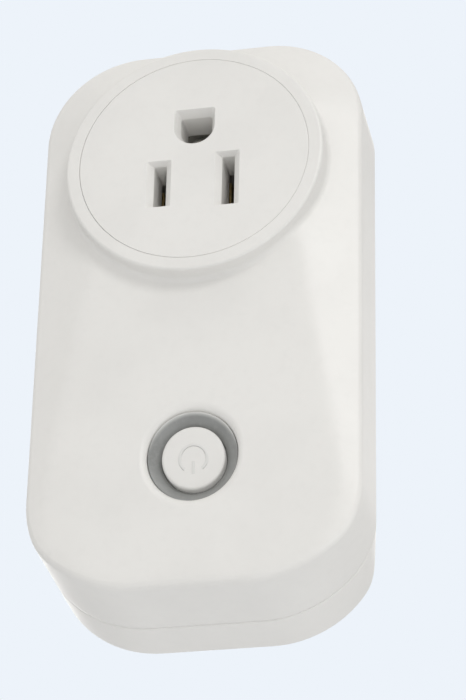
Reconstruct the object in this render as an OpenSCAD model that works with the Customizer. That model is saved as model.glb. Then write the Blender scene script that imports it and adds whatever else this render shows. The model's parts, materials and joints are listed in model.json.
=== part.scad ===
/* [Casing] */
// Width of the casing, side to side
body_w = 60; // [56:1:66]
// Height of the casing, top edge to bottom edge
body_h = 113; // [110:1:115]
// Height of the top edge above the middle of the two blades
body_top = 33.5; // [32.5:0.5:34]
// Depth from the wall to the front of the socket
socket_depth = 31; // [31:0.5:33]
// Depth of the rear cover's side wall
rear_depth = 9.5; // [9:0.5:10.5]
// How far each side of the rear cover falls in from the parting line to the wall
side_draft = 1.8; // [0:0.2:2]
// Depth at the casing's front edge
edge_depth = 24; // [23.5:0.25:24.5]
// Radius of the two upper corners
top_corner_r = 18; // [17:0.5:19]
// Radius of the two lower corners
low_corner_r = 20; // [19:0.5:21]
// Thickness of the side walls
wall = 2; // [1.6:0.2:2.2]
// Rise of the front panel from its lower edge to the socket, in degrees
panel_slope = 3.4; // [3:0.2:4]
// Fall of the shoulder from the panel to the casing's front edge, in degrees
shoulder_slope = 20; // [18:1:22]
// Width of the shoulder
shoulder_w = 12; // [10:1:12]

/* [Socket] */
// Radius of the raised collar round the socket
collar_r = 24; // [23.6:0.1:24.2]
// Radius of the round socket face
face_r = 21.4; // [21:0.1:21.5]
// Thickness of the socket face
face_t = 3.8; // [3:0.1:4]
// Height of the socket face's centre above the line through the two slots
face_lift = 5.2; // [5:0.1:5.5]
// Distance between the middles of the two slots, and of the two blades
blade_pitch = 12.7; // [12.7:0.1:12.8]
// Height of the ground hole above the slots, and of the ground pin above the blades
ground_lift = 11.9; // [11.8:0.1:12]
// Width of both slots
slot_w = 2.8; // [2.4:0.1:3]
// Length of the hot side's slot
hot_slot = 8.8; // [7.4:0.1:9]
// Length of the neutral side's slot
neutral_slot = 10.4; // [9:0.1:10.6]
// Radius of the ground hole's round side
ground_hole_r = 2.95; // [2.8:0.05:3]
// Bore radius of the ground contact
ground_bore_r = 2.45; // [2.43:0.01:2.48]

/* [Plug] */
// Length of the two blades beyond the wall face
blade_len = 16.5; // [16:0.5:18]
// Thickness of the blades
blade_t = 1.5; // [1.4:0.05:1.6]
// Width of the hot blade
hot_blade_w = 6.35; // [6.2:0.05:6.5]
// Width of the neutral blade
neutral_blade_w = 7.95; // [7.8:0.05:8.1]
// Length of the ground pin beyond the wall face
pin_len = 20; // [19:0.5:21]
// Radius of the ground pin
pin_r = 2.4; // [2.36:0.01:2.4]

/* [Button] */
// Distance of the button's centre below the slots
button_drop = 53; // [52:0.5:54]
// Radius of the button's cap
cap_r = 5.7; // [5.5:0.05:5.75]
// Outer radius of the light ring where it shows
ring_r = 8.1; // [7.9:0.1:8.2]
// Depth from the wall to the middle of the cap's face
cap_depth = 23.8; // [23.5:0.1:24]
// Tilt of the cap's face towards the casing's lower end, in degrees
cap_tilt = 10; // [6:1:11]
// Travel of the button
button_travel = 0.3; // [0.2:0.05:0.4]

/* [Inside] */
// Depth from the wall to the board's rear face
board_depth = 15.4; // [15.4:0.1:15.6]
// Thickness of the main board
board_t = 1.6; // [1.5:0.1:1.6]

/* [Hidden] */
$fn = 96;
eps = 0.01;

// Every depth below is measured from the wall face towards the front, which is -Y.
half_w = body_w / 2;
body_low = body_top - body_h;
front_wall = 2.2;
blade_x = blade_pitch / 2;
button_z = -button_drop;

// Depths of the socket, front to back
face_back = socket_depth - face_t;
contact_front = 22.6;
guide_back = 22.8;
guide_wall = 0.8;
mouth_depth = 1.9;
mouth_bevel = 0.75;
collar_back = 22;
carrier_flange_t = 2;
carrier_back = 12;
contact_base = 13;
contact_base_t = 0.8;
contact_leaf_t = 0.6;
leaf_gap = 0.95;
carrier_r = 19.3;
carrier_flange_r = 23.2;

// Depths of the plug, back to front
shoulder_back = wall;
shoulder_front = 3.5;
pin_neck_r = pin_r - 0.3;
pin_hole_r = pin_r + 0.4;
holder_front = 8.2;
tail_end = 8.6;
bar_t = 0.8;
bar_front = tail_end + bar_t;
load_bar_back = 10.4;
tail_w = 4;

// Screws: a pilot bore, a clear hole and a pan head
pilot_r = 1.05;
thread_r = 1;
clear_r = 1.4;
head_r = 2.3;
head_t = 1.6;
boss_r = 3;
case_boss = [[21, 23], [-21, 23], [20, -67.5], [-20, -67.5]];
case_head_depth = 5;
case_screw_end = 16;
board_post = [[21.5, -24], [-21.5, -24], [21.5, -54], [-21.5, -54]];
board_screw_end = 21;
carrier_screw_r = 21.3;
carrier_angles = [-30, 90, 210];
carrier_screw_end = 26;
face_post = [[14, 9], [-14, 9]];
face_screw_end = 29;

// Board outline and the parts on it
board_front = board_depth + board_t;
board_half_w = 24;
board_low = -73;
board_high = -20.5;
switch_w = 6;
switch_top = 20.3;
switch_plate_t = 0.2;
plunger_r = 1.75;
plunger_well = board_front + 1.2;
plunger_top = 21.4;
ring_back = 20.2;
ring_bore = cap_r + 0.1;
ring_flange_r = 9.8;
ring_flange_back = 21.2;
ring_flange_front = 22.4;
cap_flange_r = 6.8;
cap_flange_t = 0.6;
cap_back = ring_back - 0.1 - cap_flange_t;
cap_wall = 1;
dish_depth = 22.2;
dish_flare = 1.35;
ring_front = 24;
countersink_depth = 24.05;

// Relay, with its own corner at the low x, low z side of its case
relay_x = -22;
relay_z = -38;
relay_l = 18.4;
relay_w = 10.4;
relay_h = 12.3;
relay_wall = 0.7;
relay_low = board_depth - relay_h;
relay_mid_z = relay_z + relay_w / 2;
coil_depth = 9.6;
coil_r = 3;
core_r = 1.4;
core_end = 13.2;
yoke_t = 1.2;
yoke_w = 6.4;
pivot_x = relay_x + 14.3;
pivot_depth = 5.3;
pivot_r = 0.55;
armature_t = 1.1;
armature_end = 11.6;

// A flat shape in X and Z, extruded from depth d0 to depth d1.
module slab(d0, d1) {
    translate([0, -d0, 0]) rotate([90, 0, 0]) linear_extrude(d1 - d0) children();
}

// A straight rod along the depth direction.
module rod(x, z, r, d0, d1) {
    translate([x, -d0, z]) rotate([90, 0, 0]) cylinder(r = r, h = d1 - d0);
}

// A block between two corners: x0 to x1, z0 to z1, and depth d0 to d1.
module block(x0, x1, z0, z1, d0, d1) {
    translate([x0, -d1, z0]) cube([x1 - x0, d1 - d0, z1 - z0]);
}

// A turned shape: its profile is a list of [radius, depth], its axis is at x, z.
module turned(x, z, profile) {
    translate([x, 0, z]) rotate([90, 0, 0]) rotate_extrude() polygon(profile);
}

// Everything behind a plane through a point, tilted about X and then about Z.
module behind(x, z, depth, about_x, about_z) {
    translate([x, -depth, z]) rotate([about_x, 0, about_z])
        translate([-200, 0, -200]) cube([400, 100, 400]);
}

// Casing outline, moved in by inset on every side.
module casing_outline(inset, facets = $fn) {
    side = half_w - inset;
    top_r = top_corner_r - inset;
    low_r = low_corner_r - inset;
    top_z = body_top - inset;
    low_z = body_low + inset;
    translate([-side, low_z + low_r]) square([2 * side, top_z - top_r - low_z - low_r]);
    translate([top_r - side, top_z - top_r - 1]) square([2 * (side - top_r), top_r + 1]);
    translate([low_r - side, low_z]) square([2 * (side - low_r), low_r + 1]);
    for (s = [-1, 1]) {
        translate([s * (side - top_r), top_z - top_r]) circle(top_r, $fn = facets);
        translate([s * (side - low_r), low_z + low_r]) circle(low_r, $fn = facets);
    }
}

// Front casing block: side walls, a shoulder that falls to the edge, and the sloping panel.
module front_block(inset, drop, back) {
    intersection() {
        hull() {
            slab(back, edge_depth - drop) casing_outline(inset, 48);
            slab(back, edge_depth - drop + shoulder_w * tan(shoulder_slope))
                casing_outline(inset + shoulder_w, 32);
        }
        behind(0, body_low, edge_depth - drop, panel_slope, 0);
    }
}

// Front half of the casing, with the collar, screw bosses and posts moulded in.
module front_cover() color("white") {
    difference() {
        union() {
            difference() {
                front_block(0, 0, rear_depth);
                front_block(wall, front_wall, rear_depth - 1);
            }
            rod(0, face_lift, collar_r, collar_back, socket_depth);
            intersection() {
                front_block(wall / 2, front_wall / 2, rear_depth);
                union() {
                    for (p = case_boss) rod(p[0], p[1], boss_r, rear_depth, socket_depth);
                    for (p = board_post) rod(p[0], p[1], boss_r, board_front, socket_depth);
                }
            }
            difference() {
                rod(0, button_z, ring_flange_r + 1.6, ring_flange_back, edge_depth);
                rod(0, button_z, ring_flange_r + 0.1, ring_flange_back - 1, edge_depth + 1);
            }
        }
        rod(0, face_lift, face_r + 0.2, face_back, socket_depth + 1);
        rod(0, face_lift, carrier_r + 0.3, collar_back - 1, face_back + 1);
        rod(0, button_z, ring_r + 0.15, ring_flange_back - 1, socket_depth);
        button_cone(ring_r + 0.1, countersink_depth, 1);
        for (p = case_boss) rod(p[0], p[1], pilot_r, rear_depth - 1, case_screw_end + 1);
        for (p = board_post) rod(p[0], p[1], pilot_r, board_front - 1, board_screw_end + 0.5);
        for (a = carrier_angles)
            rod(carrier_screw_r * cos(a), face_lift + carrier_screw_r * sin(a), pilot_r,
                collar_back - 1, carrier_screw_end + 0.4);
    }
}

// Countersink round the button, opening from radius r at a depth, by flare per millimetre.
module button_cone(r, depth, flare) {
    translate([0, -depth, button_z]) rotate([90, 0, 0]) cylinder(r1 = r, r2 = r + 4 * flare, h = 4);
}

// Rear casing block: the outline with its two sides drawn in towards the wall.
module rear_block(inset, back) {
    side = half_w - inset;
    intersection() {
        slab(back, rear_depth + inset) casing_outline(inset);
        translate([0, 0, body_low]) linear_extrude(body_h)
            polygon([[side_draft - side, 0], [side - side_draft, 0], [side, -rear_depth],
                [side, -socket_depth], [-side, -socket_depth], [-side, -rear_depth]]);
    }
}

// Rear half of the casing, with its screw bosses, lip and openings.
module rear_cover() color("whitesmoke") {
    difference() {
        union() {
            difference() {
                rear_block(0, 0);
                rear_block(wall, wall);
            }
            difference() {
                slab(rear_depth - 2, rear_depth + 1.6) casing_outline(wall + 0.1);
                slab(rear_depth - 3, rear_depth + 3) casing_outline(wall + 1);
            }
            for (p = case_boss) rod(p[0], p[1], boss_r + 1, wall - 0.5, rear_depth);
        }
        for (p = case_boss) {
            rod(p[0], p[1], boss_r, -1, case_head_depth);
            rod(p[0], p[1], clear_r, case_head_depth - 1, rear_depth + 1);
            rod(p[0], p[1], boss_r + 1.1, rear_depth, rear_depth + 3);
        }
        blade_opening(-blade_x, hot_blade_w);
        blade_opening(blade_x, neutral_blade_w);
        rod(0, ground_lift, pin_hole_r, -1, wall + 1);
        block(-20.5, 20.5, -60.5, -19.5, -1, 0.3);
    }
}

// Opening in the rear wall that one blade passes through.
module blade_opening(x, w) {
    block(x - blade_t / 2 - 0.1, x + blade_t / 2 + 0.1, -w / 2 - 0.1, w / 2 + 0.1, -1, wall + 1);
}

// Round socket face with the two slots and the ground hole, each with a guide tube behind it.
module socket_face() color("ghostwhite") {
    difference() {
        union() {
            rod(0, face_lift, face_r, face_back, socket_depth);
            guide_tube(-blade_x, hot_slot);
            guide_tube(blade_x, neutral_slot);
            slab(guide_back, face_back + 1) ground_outline(guide_wall);
            for (p = face_post) rod(p[0], p[1], boss_r, face_back - 3, face_back + 1);
        }
        face_slot(-blade_x, hot_slot);
        face_slot(blade_x, neutral_slot);
        slab(guide_back - 1, socket_depth + 1) ground_outline(0);
        slab(socket_depth - mouth_depth, socket_depth + 1) ground_outline(mouth_bevel / 2);
        for (p = face_post) rod(p[0], p[1], pilot_r, face_back - 4, face_screw_end + 0.3);
    }
}

// Outside of the tube that guides one blade through the face.
module guide_tube(x, len) {
    half = slot_w / 2 + guide_wall;
    block(x - half, x + half, -len / 2 - guide_wall, len / 2 + guide_wall,
        guide_back, face_back + 1);
}

// One slot, with its two long edges bevelled at the mouth.
module face_slot(x, len) {
    half = slot_w / 2;
    bevel_back = socket_depth - mouth_depth;
    proud = socket_depth + 1;
    wide = half + mouth_bevel * (proud - bevel_back) / mouth_depth;
    block(x - half, x + half, -len / 2, len / 2, guide_back - 1, proud);
    translate([x, 0, -len / 2]) linear_extrude(len)
        polygon([[-half, -bevel_back], [half, -bevel_back], [wide, -proud], [-wide, -proud]]);
}

// Ground hole outline: a half circle below and square above.
module ground_outline(grow) {
    r = ground_hole_r + grow;
    translate([0, ground_lift]) circle(r);
    translate([-r, ground_lift]) square([2 * r, r]);
}

// Insulating carrier behind the socket face, with a pocket for each contact.
module contact_carrier() color("gainsboro") {
    difference() {
        union() {
            rod(0, face_lift, carrier_r, carrier_back, face_back - 0.1);
            rod(0, face_lift, carrier_flange_r, collar_back - carrier_flange_t, collar_back);
        }
        for (s = [-1, 1]) {
            block(s * blade_x - 3.2, s * blade_x + 3.2, -6.2, 6.2, contact_base, socket_depth);
            block(s * blade_x - 1.3, s * blade_x + 1.3, -2.2, 2.2, carrier_back - 1, socket_depth);
        }
        rod(0, ground_lift, 4.4, contact_base, socket_depth);
        slab(guide_back - 0.2, socket_depth) ground_outline(guide_wall + 0.2);
        rod(0, ground_lift, 3.3, carrier_back - 1, contact_base + 1);
        for (p = face_post) {
            rod(p[0], p[1], boss_r + 0.2, face_back - 3.1, socket_depth);
            rod(p[0], p[1], clear_r, carrier_back + 2, socket_depth);
            rod(p[0], p[1], head_r + 0.3, carrier_back - 1, face_back - 5);
        }
        for (a = carrier_angles)
            rod(carrier_screw_r * cos(a), face_lift + carrier_screw_r * sin(a), clear_r,
                carrier_back, socket_depth);
        for (a = carrier_angles)
            rod(carrier_screw_r * cos(a), face_lift + carrier_screw_r * sin(a), head_r + 0.2,
                carrier_back - 1, collar_back - carrier_flange_t);
    }
}

// Folded two-leaf contact that grips one blade, with a tail down to tail_depth.
module blade_contact(x, half_len, tail_depth) {
    reach = leaf_gap + contact_leaf_t;
    block(x - reach, x + reach, -half_len, half_len, contact_base, contact_base + contact_base_t);
    for (s = [-1, 1])
        block(x + min(s * leaf_gap, s * reach), x + max(s * leaf_gap, s * reach),
            -half_len, half_len, contact_base + contact_base_t, contact_front);
    block(x - 1, x + 1, -1.9, 1.9, tail_depth, contact_base);
}

module hot_contact() color("goldenrod") blade_contact(-blade_x, 3.4, load_bar_back + bar_t);

module neutral_contact() color("goldenrod") blade_contact(blade_x, 4.2, bar_front);

// Split sleeve that takes a ground pin.
module ground_contact() color("lightgray") {
    difference() {
        union() {
            rod(0, ground_lift, ground_bore_r + 0.6, bar_front, contact_front);
            rod(0, ground_lift, 4.1, contact_base, contact_base + contact_base_t);
        }
        rod(0, ground_lift, ground_bore_r, bar_front - 1, contact_front + 1);
        block(-0.3, 0.3, ground_lift, ground_lift + 5, contact_base + 2, contact_front + 1);
    }
}

// One flat blade: the tip, the shoulder inside the wall, and the tail.
module blade(x, w) {
    half_t = blade_t / 2;
    difference() {
        block(x - half_t, x + half_t, -w / 2, w / 2, -blade_len, shoulder_front);
        for (s = [-1, 1]) {
            translate([x + s * half_t, blade_len, 0]) rotate([0, 0, s * 28])
                translate([-5, -5, -10]) translate([s > 0 ? 5 : -5, 0, 0]) cube([10, 10, 20]);
            translate([x, blade_len, s * w / 2]) rotate([s * -35, 0, 0])
                translate([-5, -5, s > 0 ? 0 : -10]) cube([10, 10, 10]);
        }
    }
    block(x - half_t, x + half_t, -5, 5, shoulder_back, shoulder_front);
    block(x - half_t, x + half_t, -tail_w / 2, tail_w / 2, shoulder_front, tail_end);
}

module hot_blade() color("lightgray") blade(-blade_x, hot_blade_w);

module neutral_blade() color("lightgray") blade(blade_x, neutral_blade_w);

// Round ground pin with a domed tip, a collar inside the wall, and a tail.
module ground_pin() color("lightgray") {
    translate([0, 0, ground_lift]) rotate([90, 0, 0]) rotate_extrude() union() {
        translate([0, pin_r - pin_len]) square([pin_r, pin_len - pin_r]);
        square([pin_neck_r, shoulder_front]);
        intersection() {
            translate([0, pin_r - pin_len]) circle(pin_r);
            translate([0, -pin_len]) square([pin_r, pin_r + eps]);
        }
        translate([0, shoulder_back]) square([3.4, shoulder_front - shoulder_back]);
        square([1.5, tail_end]);
    }
}

// Insulating block that holds the blades and the ground pin against the rear wall.
module blade_holder() color("lightslategray") {
    difference() {
        block(-11, 11, -8, 18, wall, holder_front);
        for (s = [-1, 1]) {
            block(s * blade_x - 0.85, s * blade_x + 0.85, -5.1, 5.1, wall - 1, shoulder_front);
            block(s * blade_x - 0.85, s * blade_x + 0.85, -2.1, 2.1, wall, holder_front + 1);
        }
        rod(0, ground_lift, 3.5, wall - 1, shoulder_front);
        rod(0, ground_lift, 1.6, wall, holder_front + 1);
    }
}

// Flat bar from z0 down to z1, with a leg that turns forward to the board.
module board_bar(x0, x1, z0, z1, back) {
    block(x0, x1, z1, z0, back, back + bar_t);
    block(x0, x1, z1, z1 + bar_t, back + bar_t, board_depth);
}

module line_bar() color("peru") board_bar(-8.2, -4.5, 2.4, -24, tail_end);

module neutral_bar() color("peru") board_bar(4.5, 8.2, 2.4, -24, tail_end);

// Bar from the hot contact to the relay's side of the board.
module load_bar() color("peru") {
    block(-11.8, -4.6, -2.4, 2.4, load_bar_back, load_bar_back + bar_t);
    board_bar(-15, -11.8, 2.4, -25, load_bar_back);
}

// Strap that joins the ground pin's tail to the ground contact.
module ground_strap() color("peru") {
    block(-3.4, 3.4, ground_lift - 3.4, ground_lift + 3.4, tail_end, bar_front);
}

// Main board, cut back round the casing's two lower screw bosses.
module main_board() color("seagreen") {
    difference() {
        block(-board_half_w, board_half_w, board_low, board_high, board_depth, board_front);
        for (s = [-1, 1]) {
            block(s * 22 - 6, s * 22 + 6, board_low - 1, -63, board_depth - 1, board_front + 1);
            rod(s * board_post[0][0], board_post[0][1], clear_r, board_depth - 1, board_front + 1);
            rod(s * board_post[2][0], board_post[2][1], clear_r, board_depth - 1, board_front + 1);
        }
    }
}

// One pan-head screw that points forward, with its head behind seat.
module screw(x, z, seat, end) {
    rod(x, z, head_r, seat - head_t, seat);
    rod(x, z, thread_r, seat - 0.5, end);
}

module board_screws() color("silver") {
    for (p = board_post) screw(p[0], p[1], board_depth, board_screw_end);
}

module case_screws() color("silver") {
    for (p = case_boss) screw(p[0], p[1], case_head_depth, case_screw_end);
}

module carrier_screws() color("silver") {
    for (a = carrier_angles)
        screw(carrier_screw_r * cos(a), face_lift + carrier_screw_r * sin(a),
            collar_back - carrier_flange_t, carrier_screw_end);
}

module face_screws() color("silver") {
    for (p = face_post) screw(p[0], p[1], face_back - 5, face_screw_end);
}

// Translucent ring round the button: dished in front, with a flange behind the cover.
module light_ring() color("darkgray") {
    difference() {
        union() {
            rod(0, button_z, ring_r, ring_back, ring_front);
            rod(0, button_z, ring_flange_r, ring_flange_back, ring_flange_front);
        }
        rod(0, button_z, ring_bore, ring_back - 1, 27);
        button_cone(cap_r - 0.2, dish_depth, dish_flare);
    }
}

// Button cap: hollow behind, with a central post and a flange that keeps it in.
module button_cap() color("white") {
    difference() {
        union() {
            intersection() {
                rod(0, button_z, cap_r, cap_back, 26);
                behind(0, button_z, cap_depth, cap_tilt, 0);
            }
            rod(0, button_z, cap_flange_r, cap_back, cap_back + cap_flange_t);
        }
        difference() {
            rod(0, button_z, cap_r - cap_wall, cap_back - 1, plunger_top + 0.5);
            rod(0, button_z, plunger_r, plunger_top, plunger_top + 2);
        }
    }
}

module switch_body() color("dimgray") {
    half = switch_w / 2;
    difference() {
        block(-half, half, button_z - half, button_z + half, board_front, switch_top);
        rod(0, button_z, plunger_r + 0.08, plunger_well, switch_top + 1);
    }
}

module switch_plate() color("silver") {
    half = switch_w / 2;
    difference() {
        block(-half, half, button_z - half, button_z + half, switch_top, switch_top + switch_plate_t);
        rod(0, button_z, plunger_r + 0.08, switch_top - 1, switch_top + 1);
    }
}

module switch_plunger() color("black") {
    rod(0, button_z, plunger_r, plunger_well + button_travel + 0.5, plunger_top);
}

module wifi_board() color("navy") block(-8, 8, -41, -22, board_front, board_front + 0.8);

module wifi_shield() color("silver") block(-6.5, 6.5, -40, -28, board_front + 0.8, board_front + 3.2);

module relay_base() color("dimgray") {
    block(relay_x + relay_wall + 0.1, relay_x + relay_l - relay_wall - 0.1,
        relay_z + relay_wall + 0.1, relay_z + relay_w - relay_wall - 0.1,
        board_depth - 1.5, board_depth);
}

module relay_case() color("royalblue") {
    difference() {
        block(relay_x, relay_x + relay_l, relay_z, relay_z + relay_w, relay_low, board_depth);
        block(relay_x + relay_wall, relay_x + relay_l - relay_wall, relay_z + relay_wall,
            relay_z + relay_w - relay_wall, relay_low + relay_wall, board_depth + 1);
    }
}

// A rod along X inside the relay, from a to b counted from the relay's low x side.
module coil_rod(r, a, b) {
    translate([relay_x + a, -coil_depth, relay_mid_z]) rotate([0, 90, 0]) cylinder(r = r, h = b - a);
}

module relay_bobbin() color("ivory") {
    difference() {
        union() {
            coil_rod(core_r + 0.5, 3.3, 12.9);
            coil_rod(coil_r + 0.3, 3.3, 3.9);
            coil_rod(coil_r + 0.3, 12.3, 12.9);
        }
        coil_rod(core_r, 3, 14);
    }
}

module relay_coil() color("orangered") {
    difference() {
        coil_rod(coil_r, 3.9, 12.3);
        coil_rod(core_r + 0.5, 3, 14);
    }
}

module relay_core() color("lightsteelblue") {
    coil_rod(core_r, 3.3, core_end);
}

module relay_yoke() color("lightsteelblue") {
    block(relay_x + 2, relay_x + 2 + yoke_t, relay_mid_z - yoke_w / 2, relay_mid_z + yoke_w / 2,
        4.6, 12.6);
    block(relay_x + 2, relay_x + 13.4, relay_mid_z - yoke_w / 2, relay_mid_z + yoke_w / 2,
        4.6, 4.6 + yoke_t);
    coil_rod(core_r, 2 + yoke_t - 0.2, 3.3);
}

// Rocking armature: a plate on a round edge that turns about Z.
module relay_armature() color("lightsteelblue") {
    low = relay_mid_z - yoke_w / 2;
    translate([pivot_x, -pivot_depth, low]) cylinder(r = pivot_r, h = yoke_w);
    block(pivot_x - armature_t / 2, pivot_x + armature_t / 2, low, low + yoke_w, pivot_depth,
        armature_end);
}

// Spring leaf with its contact rivet, carried by the armature.
module relay_leaf() color("goldenrod") {
    block(pivot_x + armature_t / 2, pivot_x + 1.5, relay_mid_z - 1.5, relay_mid_z + 1.5, 8.6, 10);
    block(pivot_x + 1.5, pivot_x + 1.8, relay_mid_z - 2, relay_mid_z + 2, 8.2, 13.5);
    translate([pivot_x + 1.2, -12.9, relay_mid_z]) rotate([0, 90, 0]) cylinder(r = 0.5, h = 0.3);
}

// Fixed contact post that the leaf closes on.
module relay_contact() color("goldenrod") {
    block(pivot_x + 0.1, pivot_x + 0.5, relay_mid_z - 2, relay_mid_z + 2, 12.2, board_depth - 1.5);
    translate([pivot_x + 0.5, -12.9, relay_mid_z]) rotate([0, 90, 0]) cylinder(r = 0.5, h = 0.25);
}

// Transformer: a closed ferrite frame whose middle leg runs through a wound bobbin.
module transformer_core() color("darkslategray") {
    difference() {
        block(-20, -6, -57.5, -45, 5.2, 11.2);
        for (z = [-55, -49.9]) block(-17.4, -8.6, z, z + 2.4, 4, 13);
    }
}

// Square tube round the middle leg of the transformer's core.
module bobbin_tube(inner) {
    difference() {
        block(-17.3, -8.7, -53, -49.5, 4.8, 11.6);
        if (inner) block(-18, -8, -52.6, -49.9, 5.2, 11.2);
    }
}

module transformer_bobbin() color("black") {
    bobbin_tube(true);
    for (x = [-17.3, -9.3]) difference() {
        block(x, x + 0.6, -54.9, -47.6, 3.6, 12.8);
        block(-18, -8, -52.6, -49.9, 5.2, 11.2);
    }
    block(-18.9, -6.5, -57, -45.5, 12.8, board_depth);
}

module transformer_winding() color("gold") {
    difference() {
        block(-16.7, -9.3, -54.7, -47.8, 3.9, 12.5);
        bobbin_tube(false);
    }
}

module input_capacitor_a() color("black") can_capacitor(4.5, -38, 4, 12);

module input_capacitor_b() color("black") can_capacitor(13.2, -40, 4, 12);

module output_capacitor() color("midnightblue") can_capacitor(1, -50, 3.2, 9.5);

// Round can that stands on the board's rear face, with a rolled groove near its foot.
module can_capacitor(x, z, r, h) {
    low = board_depth - h;
    turned(x, z, [[0, low], [r - 0.4, low], [r, low + 0.4], [r, board_depth - 2.2],
        [r - 0.35, board_depth - 1.9], [r - 0.35, board_depth - 1.5], [r, board_depth - 1.2],
        [r, board_depth], [0, board_depth]]);
}

module fuse_resistor() color("darkgreen") {
    translate([-2, -13.2, -30]) rotate([0, 90, 0]) cylinder(r = 2, h = 10);
    for (x = [-2.4, 7.8]) block(x, x + 0.6, -30.3, -29.7, 12.9, board_depth);
}

module varistor() color("steelblue") {
    translate([11, -9.4, -29]) rotate([0, 90, 0]) cylinder(r = 5, h = 4);
    block(12.6, 13.4, -31.9, -31.3, 10, board_depth);
    block(12.6, 13.4, -26.7, -26.1, 10, board_depth);
}

module bridge_rectifier() color("black") block(17, 22, -35, -28.5, board_depth - 2.5, board_depth);

module filter_choke() color("darkolivegreen") {
    turned(20.4, -43.5, [[0, 6.4], [3.5, 6.4], [3.5, 7.4], [2.6, 7.6], [2.6, 14], [3.5, 14.2],
        [3.5, board_depth], [0, board_depth]]);
}

module supply_chip() color("black") block(-2, 3, -64, -58, board_depth - 1.7, board_depth);

module voltage_regulator() color("black") block(7, 13.5, -60, -56.5, board_depth - 1.8, board_depth);

module link_led() color("aliceblue") block(-8, -6, -54.6, -51.4, board_front, board_front + 1.2);

module power_led() color("aliceblue") block(6, 8, -54.6, -51.4, board_front, board_front + 1.2);

module rating_label() color("lightgray") block(-20, 20, -60, -20, 0.05, 0.3);

front_cover();
rear_cover();
socket_face();
light_ring();
button_cap();
switch_body();
switch_plate();
switch_plunger();
contact_carrier();
hot_contact();
neutral_contact();
ground_contact();
hot_blade();
neutral_blade();
ground_pin();
blade_holder();
line_bar();
load_bar();
neutral_bar();
ground_strap();
main_board();
board_screws();
case_screws();
carrier_screws();
face_screws();
wifi_board();
wifi_shield();
relay_base();
relay_case();
relay_bobbin();
relay_coil();
relay_core();
relay_yoke();
relay_armature();
relay_leaf();
relay_contact();
transformer_core();
transformer_bobbin();
transformer_winding();
input_capacitor_a();
input_capacitor_b();
output_capacitor();
fuse_resistor();
varistor();
bridge_rectifier();
filter_choke();
supply_chip();
voltage_regulator();
link_led();
power_led();
rating_label();
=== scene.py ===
"""A smart plug: white two-part casing with a round outlet, a ringed push button and a plug behind.

Sizes are in millimetres. A place is (x, depth, z): x to the right and z up as seen from the
front, and depth measured from the wall face towards the front, which is -Y in the frame.
"""

import json
import math

import bmesh
import bpy
from mathutils import Matrix, Vector
from mathutils.geometry import delaunay_2d_cdt


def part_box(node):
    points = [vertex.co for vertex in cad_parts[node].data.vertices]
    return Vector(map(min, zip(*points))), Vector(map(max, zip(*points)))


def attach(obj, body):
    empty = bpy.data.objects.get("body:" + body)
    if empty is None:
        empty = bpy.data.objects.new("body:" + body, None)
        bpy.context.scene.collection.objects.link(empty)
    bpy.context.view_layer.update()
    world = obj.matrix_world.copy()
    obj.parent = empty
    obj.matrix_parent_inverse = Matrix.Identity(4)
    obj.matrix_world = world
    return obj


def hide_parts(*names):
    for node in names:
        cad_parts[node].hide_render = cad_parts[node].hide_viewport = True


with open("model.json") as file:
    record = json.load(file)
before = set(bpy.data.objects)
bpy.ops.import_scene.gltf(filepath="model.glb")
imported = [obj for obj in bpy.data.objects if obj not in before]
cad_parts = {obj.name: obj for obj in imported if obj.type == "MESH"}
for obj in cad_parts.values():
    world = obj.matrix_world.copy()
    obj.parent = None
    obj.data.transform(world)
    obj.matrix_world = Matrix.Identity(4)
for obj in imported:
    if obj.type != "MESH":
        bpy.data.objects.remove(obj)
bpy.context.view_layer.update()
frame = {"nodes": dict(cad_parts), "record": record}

MM = 0.001


def span(node):
    """Lowest and highest corner of a CAD node in millimetres, as (x, depth, z)."""
    low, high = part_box(node)
    return (low.x / MM, -high.y / MM, low.z / MM), (high.x / MM, -low.y / MM, high.z / MM)


# Casing, from the CAD covers; a rise is how much depth a millimetre across the front adds
COVER_LOW, COVER_HIGH = span("front_cover")
HALF = COVER_HIGH[0]
TOP = COVER_HIGH[2]
LOW = COVER_LOW[2]
PARTING = COVER_LOW[1]
SOCKET = COVER_HIGH[1]
EDGE = 24.0  # depth of the front's edge at the casing's lower end
TOP_R = 18.0
LOW_R = 20.0
WALL = 2.0
FRONT_WALL = 2.9
SEAM = 0.25  # chamfer of both covers at the parting line
TONGUE = 1.6
PANEL_RISE = math.tan(math.radians(3.4))
SHOULDER_RISE = math.tan(math.radians(20))
SHOULDER_W = 12.0
CREASE = 0.55
EDGE_ROUND = 1.3
SIDE_DRAFT = 1.8
LOWER_DRAFT = 2.1
DRAFT_TOP = -66.0  # the lower wall's lean comes in from here down
DRAFT_FULL = -78.0

# Outlet; a bevel is (width at the sides, width above and below, depth)
FACE_LOW, FACE_HIGH = span("socket_face")
FACE_Z = (FACE_LOW[2] + FACE_HIGH[2]) / 2
FACE_R = FACE_HIGH[0]
COLLAR_R = 24.0
COLLAR_BACK = 22.0
COLLAR_FILLET = 1.1
COLLAR_ROUND = 0.6
FACE_GAP = 0.03
FACE_SHIFT = 0.018  # sets the face off its bore's middle, so that the gap line is wider on the left
FACE_BACK = 27.2
GUIDE_BACK = 23.4
GUIDE_WALL = 0.5
LEDGE_R = 19.6
ARRIS = 0.1  # broken edge of a moulded rim
BLADE_X = 6.35
SLOT_HALF_W = 1.15
SLOTS = ((-BLADE_X, 4.4), (BLADE_X, 5.2))  # place across and half height
SLOT_BEVEL = (1.05, 0.5, 1.2)
GROUND_BEVEL = (0.8, 0.8, 1.9)
GROUND_Z = 11.9
GROUND_R = 2.95

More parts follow.
